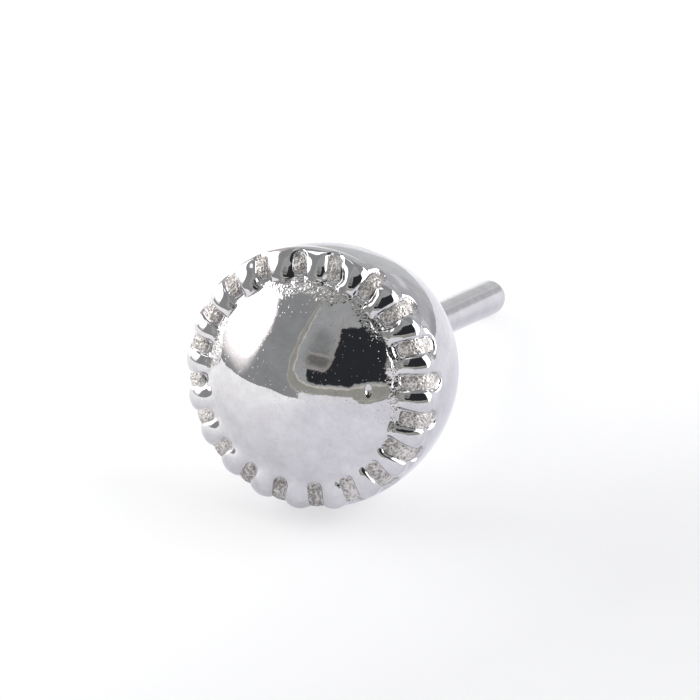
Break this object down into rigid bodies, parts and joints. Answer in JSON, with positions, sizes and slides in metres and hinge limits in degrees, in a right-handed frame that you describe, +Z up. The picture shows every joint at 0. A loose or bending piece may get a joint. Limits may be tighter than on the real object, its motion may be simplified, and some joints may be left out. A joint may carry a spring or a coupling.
{
  "type": "threadless piercing end",
  "caption": "Threadless body jewellery end: a low polished dome inside a ring of rounded lugs, soldered to a plain pin that pushes into a hollow post.",
  "frame": {"origin": "on the surface the part lies on, under the middle of its bounding box", "axes": "+Z up; +Y from the dome's front towards the end of the pin, as seen from above (the pin itself slopes down by 15.2 degrees, because the part lies on its head's side and its pin's end); +X to the right of someone looking along +Y"},
  "size_m": [0.0038, 0.0076, 0.0038],
  "materials": {
    "white_gold": "high polish, left as cast in the grooves and in a band round the dome"
  },
  "bodies": {
    "root": {"piercing_end": "white_gold"}
  },
  "joints": []
}
